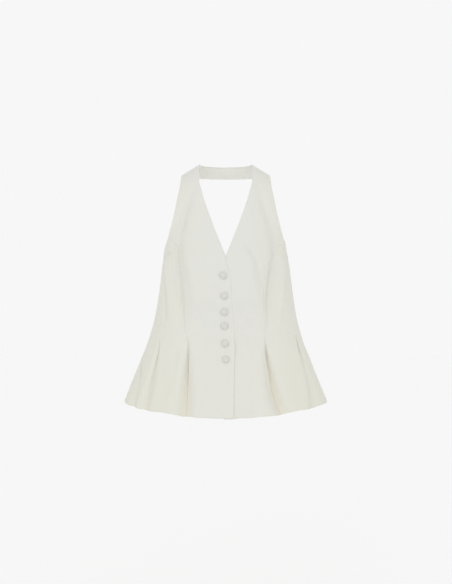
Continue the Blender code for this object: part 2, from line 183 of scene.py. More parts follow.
def rows_of(kind, *rows):
    """A table's rows, each with the names of its kind."""
    return [kind(*row) for row in rows]


# Cross-sections of the worn form
Section = namedtuple("Section", "drop half_width front back square")
SECTIONS = rows_of(Section,
    (0, 150, 0.2, 60, 2.35),
    (4, 150, 14, 62, 2.35),
    (10, 150, 25, 64, 2.35),
    (20, 150, 37, 66, 2.35),
    (35, 149.8, 49, 70, 2.35),
    (55, 149.5, 60.5, 75, 2.35),
    (80, 149, 71.5, 80, 2.35),
    (110, 148.3, 82, 84, 2.35),
    (145, 147, 93, 88, 2.35),
    (170, 141, 99.5, 91, 2.35),
    (188, 137.4, 103.5, 92, 2.35),
    (206, 139, 107, 93, 2.35),
    (233, 143, 111.5, 94, 2.35),
    (262, 146.2, 114, 94, 2.35),
    (300, 151.3, 114.3, 93, 2.33),
    (341, 158.4, 112.5, 93, 2.31),
    (368, 164.9, 111.5, 94, 2.30),
    (403, 175.5, 112, 97, 2.28),
    (430, 185.4, 116, 103, 2.25),
    (470, 198.6, 126.5, 115, 2.22),
    (510, 211.4, 139, 129, 2.20),
    (535, 220, 146.5, 137, 2.19),
    (556, 227.8, 153, 144, 2.18),
)

# Edges of the two fronts, as distances from the centre front
Edge = namedtuple("Edge", "drop over under")
FRONT_EDGE = rows_of(Edge,
    (0, STRAP_IN, STRAP_IN), (35, 58.8, 58.8), (45, 58, 58), (54, 55.9, 55.9), (63, 53.3, 53.3),
    (82, 48.2, 48.2), (100, 42.2, 42.2), (117, 36.2, 36.2), (135, 29.6, 29.6), (153, 22.8, 22.8),
    (170, 16.1, 16.1), (188, 8.8, 8.8), (211, 0, -0.4), (233, -3.5, -9), (261, -11.2, -15.5),
    (304, -13.6, -15.5), (397, -19.6, -13), (480, -18.4, -8), (556, -17.2, -3.5),
)

# The armhole's edge, then the princess seam, as distances from the centre front
Seam = namedtuple("Seam", "drop right left")
SIDE_EDGE = rows_of(Seam,
    (0, STRAP_OUT, STRAP_OUT), (12, 99.8, 99.8), (24, 100.9, 100.9), (36, 101.6, 101.6),
    (48, 103.1, 103.1), (70, 106.8, 106.8), (92, 110.2, 110.2), (113, 113.9, 113.9), (134, 118.4, 118.4),
    (151, 123.3, 123.3), (168, 128.9, 128.9), (PRINCESS_TOP, 132.2, 132.2), (187, 126, 118),
    (196, 117, 105), (209, 106.2, 92.5), (224, 99.3, 85), (250, 95.4, 83.4), (283, 92.4, 83.6),
    (330, 90.8, 84.2), (369, 88.5, 85), (399, 81.4, 86.6), (431, 81.2, 89.6), (460, 82.3, 95),
    (487, 84, 99.9), (514, 86, 106), (533, 87.2, 113), (556, 88.6, 124),
)

# The top edge of a side panel
Rim = namedtuple("Rim", "share drop")
SIDE_TOP = rows_of(Rim,
    (0, PRINCESS_TOP), (0.3, 186), (0.6, 197.5), (1, UNDERARM),
)

# The hem's drop round each side
Hem = namedtuple("Hem", "angle right left")
HEM = rows_of(Hem,
    (0, 555.2, 555.2), (12, 554, 553.9), (17, 552.8, 551.6), (22, 552.6, 550.4), (26, 548.8, 550),
    (30, 545.6, 550.2), (35, 544.4, 545.8), (40, 544, 542.3), (45, 543.6, 540.4), (52, 540.8, 540),
    (58, 538.6, 539.2), (65, 536.2, 535.2), (75, 534, 533.6), (90, 533, 533), (130, 536, 536),
    (180, 540, 540),
)

# Pleats let go at the waist. Angles run from the centre front round each side, at the waist, halfway
# down and at the hem; lean says which way the soft ridge beside the fold lies (1 is towards the back).
Pleat = namedtuple("Pleat", "name side start waist middle hem depth width lean")
PLEATS = (
    Pleat("outer_right", -1, 388, 54.5, 50.6, 48.8, 6.5, 13, 1),
    Pleat("outer_left", 1, 382, 63.4, 62.6, 57.5, 7, 16, -1),
    Pleat("side_right", -1, 425, 85, 69.5, 61.5, 5, 11, 1),
    *(Pleat("back_outer", side, 388, 121, 123, 126, 8, 14, -1) for side in (-1, 1)),
    *(Pleat("back_inner", side, 388, 150, 151, 153, 10, 15, -1) for side in (-1, 1)),
)
SEAM_PLEAT_DEPTH = 11.0
SEAM_PLEAT_WIDTH = 15.0
PLEAT_TOP_WIDTH = 4.8
PLEAT_OPENS = 45.0  # a pleat's first quarter opens over this drop, and the rest over the next
PLEAT_FULL = 165.0
PLEAT_FIRST = 0.25
RIDGE_HEIGHT = 0.5  # the ridge beside a pleat, as shares of the pleat's depth and half width
RIDGE_AWAY = 1.9
RIDGE_WIDTH = 1.1
WAIST_DROP = 397.0
MIDDLE_DROP = 475.0

# Soft swells and creases in the worn cloth. Each runs through its stops: a place as angle and drop, its
# height there (a crease is below nought) and its half width. Side is -1 for the wearer's right.
Fold = namedtuple("Fold", "name side stops")
Stop = namedtuple("Stop", "angle drop height width")


def fold(name, side, *stops):
    return Fold(name, side, rows_of(Stop, *stops))


SOFT_FOLDS = (
    fold("bust_right", -1, (17, 222, 5, 32), (18, 290, 4, 30)),
    fold("bust_left", 1, (15, 222, 5, 30), (15, 288, 4, 28)),
    fold("valley_right", -1,
        (25, 60, -1, 9), (30, 94, -2.6, 10), (37, 141, -5, 12), (46, 182, -7, 13), (45, 209, -7, 13),
        (38, 244, -6, 12), (34, 283, -4, 10), (31, 330, -2.6, 8), (28, 372, -1.4, 7),
    ),
    fold("valley_left", 1,
        (26, 59, -1, 9), (30, 97, -2.2, 10), (38, 141, -4, 13), (47, 180, -5, 15), (48, 208, -5, 15),
        (40, 240, -4, 12), (33, 276, -3, 8), (30, 326, -2, 7),
    ),
    fold("side_trough_left", 1,
        (53, 262, -2, 9), (47, 304, -3, 9), (40, 337, -2.8, 9), (31, 371, -1.6, 8),
    ),
    fold("side_fold_right", -1, (68, 262, -1.6, 8), (58, 305, -2.6, 8), (54, 342, -1.4, 8)),
    fold("back_swell", -1, (172, 300, 3, 60), (188, 340, 3, 60)),
    fold("back_valley_right", -1, (106, 236, -2, 12), (114, 290, -4, 13), (124, 350, -2, 10)),
    fold("back_valley_left", 1, (108, 244, -1.6, 12), (117, 300, -3.6, 13), (122, 356, -1.8, 10)),
)

# Finer creases and ridges that show on the cloth itself, and like ones where the photograph can't see
FINE_FOLDS = (
    fold("deep_valley_right", -1,
        (25, 50, -1.2, 6), (31, 90, -3.2, 7), (40, 141, -4.4, 10), (55, 180, -6, 12),
        (56, 209, -7.6, 15), (53, 240, -9.6, 18), (48, 272, -9.6, 18), (43, 304, -8, 16),
        (37, 337, -4, 11), (31, 369, -1.2, 6),
    ),
    fold("valley_bank_right", -1,
        (79, 172, 0, 12), (76, 194, 1.4, 11), (70, 230, 2.5, 9), (64, 262, 0.8, 8), (60, 286, 0, 7),
    ),
    fold("fine_side_right", -1, (74, 232, 0, 5), (66, 285, -3.2, 5), (59, 318, -3.2, 5), (52, 362, 0, 5)),
    fold("deep_valley_left", 1,
        (26, 50, -0.8, 6), (30.5, 90, -2.4, 7), (40, 141, -3.4, 11), (55, 180, -4.8, 16),
        (55, 209, -4.8, 16), (50, 240, -9, 18), (44, 272, -8.4, 17), (39, 304, -6.6, 14),
        (32, 337, -2.2, 7), (30, 369, -0.8, 6),
    ),
    fold("side_hollow_left", 1,
        (62, 225, -1, 10), (43, 268, -3, 9), (39, 304, -2.4, 8), (36, 340, -1, 7),
    ),
    fold("edge_ridge_left", 1,
        (13, 190, 1, 7), (18.5, 240, 2.2, 7), (20.5, 272, 2.4, 7), (23.5, 309, 1.4, 7),
    ),
    fold("bust_edge_right", -1,
        (33, 205, 1.2, 10), (27, 240, 2.2, 9), (25, 275, 2.4, 9), (24, 310, 1.8, 9), (22, 345, 0.3, 8),
    ),
    fold("edge_trough_left", 1,
        (16, 186, -1, 5), (22.5, 209, -2.6, 5), (26, 240, -3.2, 5.5), (28.5, 274, -1.8, 5),
    ),
    fold("side_ridge_left", 1, (57, 275, 1, 6), (46, 340, 1, 6), (38, 370, 0.5, 6)),
    fold("waist_crease_right", -1,
        (17.5, 322, 0, 6), (16.5, 342, -1.8, 6), (14.5, 360, -1.4, 6), (12.5, 382, 0, 6),
    ),
    fold("bust_ridge_right", -1, (22.2, 261, 0.9, 5), (21.2, 311, 0.7, 5)),
    fold("bust_line_right", -1, (26.8, 276, -0.7, 4), (25.5, 319, -0.5, 4)),
    fold("hip_flank_right", -1, (34.5, 415, -1.2, 7), (30.5, 470, -1.8, 8), (28.5, 540, -1.4, 8)),
    fold("waist_line_left", 1, (11, 344, 0, 5), (15, 362, -0.8, 5), (20, 388, 0, 5)),
    fold("underarm_right", -1, (87, 216, -0.9, 6), (70, 244, 0, 6)),
    fold("underarm_left", 1, (86, 216, -1, 6), (68, 250, 0, 6)),
    fold("back_line_right", -1, (118, 262, -0.9, 7), (136, 322, -0.9, 7)),
    fold("back_line_left", 1, (120, 268, -0.8, 7), (134, 334, -0.8, 7)),
    fold("back_waist_right", -1, (128, 352, -0.8, 6), (152, 376, -0.8, 6)),
    fold("back_waist_left", 1, (134, 358, -0.8, 6), (158, 380, -0.7, 6)),
    fold("back_middle", 1, (168, 300, -0.7, 8), (176, 352, -0.6, 8)),
)

# The pressed line down each pleat: how deep it is at each drop, and its half width towards the centre
# front and away from it. A line with no angle lies on the princess seam.
Line = namedtuple("Line", "name side marks")
Mark = namedtuple("Mark", "angle drop depth inward outward")


def press(name, side, *marks):
    return Line(name, side, rows_of(Mark, *marks))


LINES = (
    press("inner_right", -1,
        (None, 384, 0, 1.4, 1.6), (None, 401, 1.3, 1.4, 1.8), (None, 430, 3.8, 0.9, 3.6),
        (None, 460, 4.6, 1, 5), (None, 490, 3.2, 1.4, 6), (None, 556, 1.4, 3.5, 8),
    ),
    press("inner_left", 1,
        (None, 384, 0, 1.4, 1.6), (None, 401, 1.7, 1.5, 2.2), (None, 430, 5.2, 0.9, 4.2),
        (None, 460, 5.4, 1, 6.5), (None, 490, 4, 1.6, 8.5), (None, 556, 2, 3, 11),
    ),
    press("waist_valley_right", -1,
        (53, 180, 0, 6, 12), (52, 206, 5.4, 8, 10), (45.5, 240, 8.4, 8, 8), (40.8, 272, 8.6, 7, 8),
        (37.4, 304, 7.6, 6, 7), (33.8, 337, 3.2, 3, 9), (31.2, 365, 1.6, 2.4, 6), (29.8, 384, 0, 2.4, 6),
    ),
    press("waist_valley_left", 1,
        (50, 196, 0, 5, 12), (44, 236, 5.4, 7, 8), (38.4, 270, 7, 6, 8), (34.8, 304, 6, 5, 7),
        (32.4, 337, 2.6, 3, 9), (30.4, 372, 0, 3, 7),
    ),
    press("outer_right", -1,
        (55.2, 385, 0, 1.3, 1.3), (54.2, 402, 2.2, 1.4, 1.5), (52.2, 433, 3.6, 1.7, 1.9),
        (51.8, 467, 3.2, 2, 2.4), (51.2, 501, 2.2, 2.2, 2.6), (49.2, 556, 1.2, 2.6, 2.6),
    ),
    press("outer_left", 1,
        (64.2, 379, 0, 1.3, 1.5), (64.4, 392, 4.4, 1.4, 1.8), (64.2, 412, 6, 1.7, 3),
        (63.6, 440, 4.4, 2.4, 6.5), (62.6, 465, 1.2, 3, 9), (62.6, 500, 0, 3, 9),
    ),
    press("side_right", -1,
        (82, 425, 0, 1.6, 1.6), (78.8, 438, 2.6, 1.6, 1.8), (71, 470, 4.6, 2, 2.4),
        (64.5, 508, 1.4, 2.4, 3), (62.2, 545, 0, 2.4, 3),
    ),
    press("back_outer_right", -1,
        (121, 385, 0, 1.4, 1.6), (121.2, 405, 3.6, 1.6, 1.6), (122, 440, 4.4, 2.4, 1.8),
        (126, 556, 1.6, 5, 3),
    ),
    press("back_outer_left", 1,
        (121, 385, 0, 1.4, 1.6), (121.2, 405, 3.4, 1.6, 1.6), (122, 446, 4.6, 2.8, 1.8),
        (126, 556, 1.2, 5, 3),
    ),
    press("back_inner_right", -1,
        (150, 385, 0, 1.4, 1.6), (150.1, 405, 3.4, 1.6, 1.6), (150.6, 442, 5, 3, 2),
        (153, 556, 2.4, 6, 3.4),
    ),
    press("back_inner_left", 1,
        (150, 385, 0, 1.4, 1.6), (150.1, 405, 3.4, 1.6, 1.6), (150.6, 438, 5.2, 3, 2),
        (153, 556, 2, 6, 3.4),
    ),
)

# Long low waves in the hanging cloth, from the drop WAVES_FROM over WAVES_RUN: how many go round, how
# tall each is down the cloth, where it starts in degrees, and its height
WAVES_FROM = 60.0
WAVES_RUN = 120.0
Wave = namedtuple("Wave", "around tall start height")
WAVES = rows_of(Wave,
    (5, 310, 20, 0.45),
    (9, -190, 110, 0.30),
    (14, 240, 250, 0.22),
    (23, -120, 70, 0.12),
)

# The covered buttons, as places on the upper front
Button = namedtuple("Button", "across drop turn")
BUTTONS = rows_of(Button,
    (-5.2, 251.6, 12),
    (-2.6, 295.5, 40),
    (-2.6, 330.3, 75),
    (-2.6, 360.2, 5),
    (-1.5, 398.0, 58),
    (0.0, 432.1, 24),
)

# The gathers under a button's rim: how many go round, how far its turn shifts them, and their height
Gather = namedtuple("Gather", "around shift height")
GATHERS = (Gather(19, 1, 0.16), Gather(31, 2, 0.1))

# Flat cuts in millimetres, for what shows of each piece
Cut = namedtuple("Cut", "node width length share")


def smooth(share):
    """A soft step from 0 to 1."""
    share = np.clip(share, 0.0, 1.0)
    return share * share * (3 - 2 * share)


def bell(away, width):
    return np.exp(-((away / width) ** 2))


def column(table, name):
    return np.array([getattr(row, name) for row in table], float)


def curve(keys, values, at):
    """A smooth line through a table's values, with no bulge past them."""
    step = np.diff(keys)
    rise = np.diff(values) / step
    before, after = rise[:-1], rise[1:]
    total = before + after
    safe = np.where(total == 0, 1.0, total)
    middle = np.where(before * after > 0, 2 * before * after / safe, 0.0)
    slope = np.concatenate([rise[:1], middle, rise[-1:]])
    at = np.clip(np.asarray(at, float), keys[0], keys[-1])
    i = np.clip(np.searchsorted(keys, at, "right") - 1, 0, len(step) - 1)
    t = (at - keys[i]) / step[i]
    start = (1 + 2 * t) * (1 - t) ** 2 * values[i] + t * (1 - t) ** 2 * step[i] * slope[i]
    end = t * t * (3 - 2 * t) * values[i + 1] + t * t * (t - 1) * step[i] * slope[i + 1]
    return start + end


def look_up(table, key, name, at):
    return curve(column(table, key), column(table, name), at)


def section(drop):
    """The cross-section at a drop. Square roots make the straps roll over level at the shoulder."""
    keys = np.sqrt(column(SECTIONS, "drop"))
    at = np.sqrt(np.maximum(drop, 0.0))
    return [curve(keys, column(SECTIONS, name), at) for name in Section._fields[1:]]


def angle_of(across, drop):
    """The section angle, in degrees, of a distance from the centre on the front half."""
    half_width, _, _, square = section(drop)
    share = np.clip(np.abs(across) / half_width, 0.0, 1.0)
    return np.degrees(np.arcsin(share ** (square / 2))) * np.sign(across)


def seam_angle(side, drop):
    name = "right" if side < 0 else "left"
    return angle_of(look_up(SIDE_EDGE, "drop", name, drop), drop)


def pleat_angle(pleat, drop):
    keys = np.array([WAIST_DROP, MIDDLE_DROP, HEM_DROP])
    return curve(keys, np.array([pleat.waist, pleat.middle, pleat.hem], float), drop)


def pleat_shape(away, start, drop, depth, width, lean):
    """A let-go pleat across its length: a trough, sharp at the top and wide at the hem, and the
    soft ridge that its spare cloth makes on one side."""
    below = drop - start
    grown = PLEAT_FIRST * smooth(below / PLEAT_OPENS) + (1 - PLEAT_FIRST) * smooth(below / PLEAT_FULL)
    opened = np.clip(below / (HEM_DROP - start), 0, 1)
    half = PLEAT_TOP_WIDTH + (width - PLEAT_TOP_WIDTH) * opened
    trough = bell(away, half)
    ridge = bell(away - RIDGE_AWAY * lean * half, RIDGE_WIDTH * half)
    return depth * grown * (RIDGE_HEIGHT * ridge - trough)


def fold_shape(stops, here, drop, per_degree):
    """The height of a swell or crease at a place, by the nearest point of the line through its stops."""
    nearest = np.full(np.shape(here), np.inf)
    height = np.zeros(np.shape(here))
    for first, last in zip(stops, stops[1:]):
        run = (last.angle - first.angle) * per_degree
        fall = last.drop - first.drop
        over = (here - first.angle) * per_degree
        down = drop - first.drop
        share = np.clip((over * run + down * fall) / (run * run + fall * fall), 0, 1)
        width = first.width + share * (last.width - first.width)
        apart = np.hypot(over - share * run, down - share * fall) / width
        closer = apart < nearest
        nearest = np.where(closer, apart, nearest)
        height = np.where(closer, first.height + share * (last.height - first.height), height)
    return height * np.exp(-(nearest**2))


def line_angle(line, drop):
    """Where a pressed line lies at a drop."""
    if line.marks[0].angle is None:
        return seam_angle(line.side, drop)
    return look_up(line.marks, "drop", "angle", drop)


def pressed_line(line, here, drop, per_degree):
    """How deep a pressed line is at a place: steep on one side and soft on the other."""
    away = (here - line_angle(line, drop)) * per_degree
    names = ("depth", "inward", "outward")
    depth, inward, outward = (look_up(line.marks, "drop", name, drop) for name in names)
    return -depth * bell(away, np.where(away < 0, inward, outward))


def on_side(table, side):
    return [row for row in table if row.side == side]


def line_centres(side, behind, drop):
    """Where the pressed lines in front of the side seam, or behind it, lie at a drop."""
    lines = [line for line in on_side(LINES, side) if line.marks[0].angle is not None]
    lines = [line for line in lines if (line.marks[0].angle > SIDE_SEAM) == behind]
    return [float(line_angle(line, drop)) for line in lines]


def relief(angle, drop):
    """How far the cloth stands out from the plain form, in mm, at a signed angle and a drop."""
    half_width, front, _, _ = section(drop)
    per_degree = math.radians(1) * (half_width + front) / 2
    angle, drop, per_degree = np.broadcast_arrays(angle, drop, per_degree)
    total = np.zeros(angle.shape)
    for side in (-1, 1):
        here = np.mod(angle * side + 90, 360) - 90
        away = (here - seam_angle(side, drop)) * per_degree
        total += pleat_shape(away, RELEASE, drop, SEAM_PLEAT_DEPTH, SEAM_PLEAT_WIDTH, -side)
        for pleat in on_side(PLEATS, side):
            away = (here - pleat_angle(pleat, drop)) * per_degree
            total += pleat_shape(away, pleat.start, drop, pleat.depth, pleat.width, pleat.lean)
        for soft in on_side(SOFT_FOLDS + FINE_FOLDS, side):
            total += fold_shape(soft.stops, here, drop, per_degree)
        for line in on_side(LINES, side):
            total += pressed_line(line, here, drop, per_degree)
    for wave in WAVES:
        phase = np.radians(angle * wave.around + wave.start) + 2 * math.pi * drop / wave.tall
        total += wave.height * np.sin(phase) * smooth((drop - WAVES_FROM) / WAVES_RUN)
    return total


def painted_fold_light_share(angle, drop):
    """How deep in a fold a place lies from the waist down, from 0 on open cloth to 1 in a pleat, as the
    share of the warm light painted there.
    """
    deep = smooth((-relief(angle, drop) - FOLD_STARTS) / (FOLD_FULL - FOLD_STARTS))
    return deep * smooth((drop - FOLD_FROM) / FOLD_RUN)


def skin(angle, drop, out=0.0):
    """The outer face of the cloth in mm, at an angle from the centre front and a drop, moved out."""
    half_width, front, back, square = section(drop)
    turn = np.radians(angle)
    sine, cosine = np.sin(turn), np.cos(turn)
    reach = np.where(cosine > 0, front, back)
    wide = np.abs(sine) ** (2 / square)
    deep = np.abs(cosine) ** (2 / square)
    x = half_width * wide * np.sign(sine)
    y = -reach * deep * np.sign(cosine)
    normal_x = wide ** (square - 1) / half_width * np.sign(sine)
    normal_y = -(deep ** (square - 1)) / reach * np.sign(cosine)
    size = np.hypot(normal_x, normal_y)
    moved = relief(angle, drop) + out
    slope = SHOULDER_SLOPE * np.maximum(np.abs(x) - STRAP_IN, 0)
    slope = slope * np.clip(1 - drop / SHOULDER_REACH, 0, 1) ** 2
    turned = np.mod(angle + 180, 360) - 180
    hems = [look_up(HEM, "angle", name, np.abs(turned)) for name in ("right", "left")]
    lift = HEM_DROP - np.where(turned < 0, hems[0], hems[1])
    lift = lift * smooth((drop - WAIST_DROP) / (HEM_DROP - WAIST_DROP))
    x = x + moved * normal_x / size
    y = y + moved * normal_y / size
    return np.stack([x, y, -drop - slope + lift], axis=-1)


def runs(*spans):
    """Rows from span to span, each given as its start, its end and the number of steps between."""
    found = [np.linspace(start, end, steps, endpoint=False) for start, end, steps in spans]
    return np.concatenate([*found, [spans[-1][1]]])


def crowded(start, end, centres, count, boost=LINE_BOOST, reach=LINE_REACH):
    """Places from start to end, closer together near each centre and at both ends."""
    fine = np.linspace(0, 1, 400)
    at = start + (end - start) * fine
    weight = 1 + sum(boost * bell(at - centre, reach) for centre in centres)
    weight = weight + END_BOOST * bell(fine, END_REACH) + END_BOOST * bell(1 - fine, END_REACH)
    total = np.concatenate([[0], np.cumsum((weight[1:] + weight[:-1]) / 2)])
    return start + (end - start) * np.interp(np.linspace(0, 1, count), total / total[-1], fine)


def edge_distances(points):
    """How far each point lies from the panel's first and last column, and its first and last row."""
    along = np.linalg.norm(np.diff(points, axis=1), axis=2)
    left = np.concatenate([np.zeros((len(points), 1)), np.cumsum(along, axis=1)], axis=1)
    down = np.linalg.norm(np.diff(points, axis=0), axis=2)
    top = np.concatenate([np.zeros((1, points.shape[1])), np.cumsum(down, axis=0)], axis=0)
    return left, left[:, -1:] - left, top, top[-1:] - top


def edge_finish(kind, away, finish):
    """How an edge is shaped: free is turned and pressed round, lapped rolls wider onto the layer below,
    and sewn sinks into its seam."""
    if kind == "lapped":
        return -LAPPED_ROLL * np.clip(1 - away / LAPPED_WIDE, 0, 1) ** 2
    if kind == "free":
        rolled = np.clip(1 - away / (finish.turn_width / MM), 0, 1) ** 2
        return TURN_BANK * bell(away - TURN_BANK_AWAY, TURN_BANK_WIDE) - finish.turn_depth / MM * rolled
    sunk = finish.seam_depth / MM * bell(away, finish.seam_width / MM)
    return SEAM_BANK * bell(away - SEAM_BANK_AWAY, SEAM_BANK_WIDE) - sunk


def pucker(away, along, finish, pitch):
    """Small uneven gathers where a seam draws the cloth in."""
    gathers = np.sin(2 * math.pi * along / pitch)
    gathers = gathers + SECOND_PUCKER * np.sin(2 * math.pi * along / (pitch * SECOND_PITCH) + 1)
    return finish.pucker / MM * gathers * bell(away, PUCKER_REACH) * smooth(away / PUCKER_CLEAR)


def add_node(tree, kind, settings=None, **inputs):
    """Adds a shader node. Settings are its properties. An input is a value, a socket to link from, or a
    node whose first output is meant; i0 is the first input, and other names are the input's own. In a
    MapRange, i1 to i2 becomes i3 to i4."""
    made = tree.nodes.new(f"ShaderNode{kind}")
    for name, value in (settings or {}).items():
        setattr(made, name, value)
    for name, value in inputs.items():
        key = int(name[1:]) if name[0] == "i" and name[1:].isdigit() else name.replace("_", " ")
        if isinstance(value, bpy.types.Node):
            value = value.outputs[0]
        if isinstance(value, bpy.types.NodeSocket):
            tree.links.new(value, made.inputs[key])
        else:
            made.inputs[key].default_value = value
    return made


def linear(hex_colour):
    """A screen colour as the linear values that Blender's shader takes."""
    shares = [int(hex_colour[i : i + 2], 16) / 255 for i in (0, 2, 4)]
    return [s / 12.92 if s <= 0.04045 else ((s + 0.055) / 1.055) ** 2.4 for s in shares] + [1.0]


MULTIPLY = {"operation": "MULTIPLY"}
ADD = {"operation": "ADD"}
SMOOTHSTEP = {"interpolation_type": "SMOOTHSTEP"}
COLOURS = {"data_type": "RGBA"}


def woven_crepe(name, colour, cast_and_painted_shade_colour, finish):
    """Woven crepe in ivory dye, pressed: matt, with fine crossed threads, thicker threads here and there
    and a slightly warmer cast in uneven patches, with painted shade that turns it warmer towards its sides
    and hem and painted warm light deep in its folds. It gives the eye a soft even tone that only folds and
    seams break."""
    material = bpy.data.materials.new(name)
    material.use_nodes = True
    tree = material.node_tree
    uv = add_node(tree, "UVMap", {"uv_map": "threads"})
    place = add_node(tree, "TexCoord").outputs["Object"]
    split = add_node(tree, "SeparateXYZ", i0=uv)
    # The real threads are about 0.35 mm apart, too fine for the picture, so they are drawn coarser
    turns = 2 * math.pi / finish.thread_spacing
    sines = []
    for axis in ("X", "Y"):
        scaled = add_node(tree, "Math", MULTIPLY, i0=split.outputs[axis], i1=turns)
        sines.append(add_node(tree, "Math", {"operation": "SINE"}, i0=scaled))
    crossed = add_node(tree, "Math", MULTIPLY, i0=sines[0], i1=sines[1])
    # Thicker threads run down the cloth for 30 to 80 mm, a little over a millimetre apart
    stretch = add_node(tree, "Mapping", Vector=uv, Scale=(700.0, 22.0, 1.0))
    slub = add_node(tree, "TexNoise", Vector=stretch, Scale=1.0, Detail=2.0, Roughness=0.6)
    # Pressing leaves faint dips about 15 mm across
    dips = add_node(tree, "TexNoise", Vector=place, Scale=1 / 0.015, Detail=3.0, Roughness=0.55)
    # Painted shade: the cloth is painted warmer towards its sides and hem, where it turns away from the
    # light, and is unevenly warmer in random patches about 60 mm across
    patches = add_node(tree, "TexNoise", Vector=place, Scale=1 / 0.06, Detail=2.0, Roughness=0.5)
    spot = add_node(tree, "SeparateXYZ", i0=place)
    aside = add_node(tree, "Math", {"operation": "ABSOLUTE"}, i0=spot.outputs["X"])
    sides = add_node(tree, "MapRange", SMOOTHSTEP, i0=aside, i1=0.03, i2=0.16, i3=0.0, i4=0.6)
    hem = add_node(tree, "MapRange", SMOOTHSTEP, i0=spot.outputs["Z"], i1=-0.3, i2=-0.5, i3=0.0, i4=0.3)
    both = add_node(tree, "Math", ADD, i0=sides, i1=hem)
    uneven = add_node(tree, "Math", {"operation": "MULTIPLY_ADD"}, i0=patches, i1=0.5, i2=-0.25)
    cast = add_node(tree, "Math", ADD, i0=both, i1=uneven)
    threads = add_node(tree, "Math", {"operation": "MULTIPLY_ADD"}, i0=slub, i1=0.3, i2=-0.15)
    share = add_node(tree, "Math", {**ADD, "use_clamp": True}, i0=cast, i1=threads)
    # The painted side and hem shade, the random patches and the thicker threads mix in the warmer colour
    tinted_with_painted_shade = add_node(tree, "Mix", COLOURS, i0=share, i6=linear(colour), i7=linear(cast_and_painted_shade_colour))
    # Painted bounce light: deep in its folds the cloth is painted warmer, standing in for the light that
    # gets there through and between its layers
    depth = add_node(tree, "SeparateXYZ", i0=add_node(tree, "UVMap", {"uv_map": "folds"}))
    painted_bounce_warmth = linear(finish.painted_fold_light_colour)
    tone = add_node(tree, "Mix", COLOURS, i0=depth.outputs["X"], i6=tinted_with_painted_shade.outputs[2], i7=painted_bounce_warmth)
    rough = add_node(tree, "MapRange", i0=slub, i1=0.3, i2=0.7, i3=0.46, i4=0.6)
    weave = add_node(tree, "Bump", Strength=0.35, Distance=0.00012, Height=crossed)
    thick = add_node(tree, "Bump", Strength=0.4, Distance=0.0002, Height=slub, Normal=weave)
    pressed = add_node(tree, "Bump", Strength=0.35, Distance=0.0006, Height=dips, Normal=thick)
    shader = tree.nodes["Principled BSDF"]
    tree.links.new(tone.outputs[2], shader.inputs["Base Color"])
    tree.links.new(rough.outputs[0], shader.inputs["Roughness"])
    tree.links.new(pressed.outputs[0], shader.inputs["Normal"])
    shader.inputs["IOR"].default_value = 1.5
    shader.inputs["Specular IOR Level"].default_value = 0.4
    shader.inputs["Sheen Weight"].default_value = 0.05
    shader.inputs["Sheen Roughness"].default_value = 0.4
    return material


def make_piece(name, corners, faces, maps, material):
    """A smooth piece from its corners, in mm, with its maps' places for each corner."""
    mesh = bpy.data.meshes.new(name)
    mesh.from_pydata((corners * MM).tolist(), [], faces)
    index = np.zeros(len(mesh.loops), np.int32)
    mesh.loops.foreach_get("vertex_index", index)
    for map_name, places in maps.items():
        layer = mesh.uv_layers.new(name=map_name)
        layer.data.foreach_set("uv", places[index].astype(np.float32).reshape(-1))
    mesh.materials.append(material)
    mesh.shade_smooth()
    piece = bpy.data.objects.new(name, mesh)
    bpy.context.scene.collection.objects.link(piece)
    return piece


# The cloths: the facing inside the neck band is painted a shade paler, as painted light on its
# shaded inner face, and the buttons' cloth is painted a little darker, as painted shade on their domes
CLOTHS = {
    "ivory": ("ivory_woven_crepe", "cloth_colour", "cloth_cast_and_painted_shade"),
    "facing": ("pale_band_facing", "facing_painted_light_colour", "cloth_cast_and_painted_shade"),
    # Painted shade: the buttons' crepe is a darker copy of the ivory, standing in for the shade on their
    # domes
    "button": ("ivory_crepe_over_button", "button_painted_shade_colour", "button_cast_and_painted_shade"),
}


def finish_material(kind):
    """Each cloth is made once and shared."""
    finish = bpy.context.scene.waistcoat_finish
    name, colour, cast_and_painted_shade_colour = CLOTHS[kind]
    found = bpy.data.materials.get(name)
    return found or woven_crepe(name, getattr(finish, colour), getattr(finish, cast_and_painted_shade_colour), finish)


def cloth_panel(node, points, across, down, folds, finish, outwards=1):
    """A panel of ivory cloth: a thin shell with its outer face at the points, whose threads follow the
    grid. Folds says how deep in a fold each point lies, from 0 to 1, and sets the warm light painted there."""
    rows, columns = points.shape[:2]
    index = np.arange(rows * columns).reshape(rows, columns)
    faces = np.stack([index[:-1, :-1], index[1:, :-1], index[1:, 1:], index[:-1, 1:]], axis=-1)
    if outwards < 0:
        faces = faces[..., ::-1]
    threads, shades = np.stack([across, down], axis=-1), np.stack([folds, 0 * folds], axis=-1)
    maps = {"threads": threads.reshape(-1, 2) * MM, "folds": shades.reshape(-1, 2)}
    corners, faces = points.reshape(-1, 3), faces.reshape(-1, 4).tolist()
    piece = make_piece(f"{node}_cloth", corners, faces, maps, finish_material("ivory"))
    wall = piece.modifiers.new("wall", "SOLIDIFY")
    wall.thickness = finish.thickness
    wall.offset = -1
    wall.use_even_offset = False
    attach(piece, BODY)
    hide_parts(node)
    return piece


def front_grid(side):
    """The angles and drops of a front's points, from its shoulder seam to the hem."""
    strap = STRAP_ROLL * np.linspace(0, 1, STRAP_ROWS) ** 2
    rows = runs(STRAP_SPAN, *ROWS)
    drops = np.concatenate([strap[:-1], rows])[:, None]
    edge = look_up(FRONT_EDGE, "drop", "over" if side < 0 else "under", drops)
    inner = angle_of(edge, drops)
    outer = seam_angle(side, drops) - SEAM_GAP
    shares = crowded(0, 1, (1.0,), FRONT_COLUMNS, boost=3.0, reach=0.15)
    return inner + (outer - inner) * shares[None, :], drops + 0 * shares[None, :]


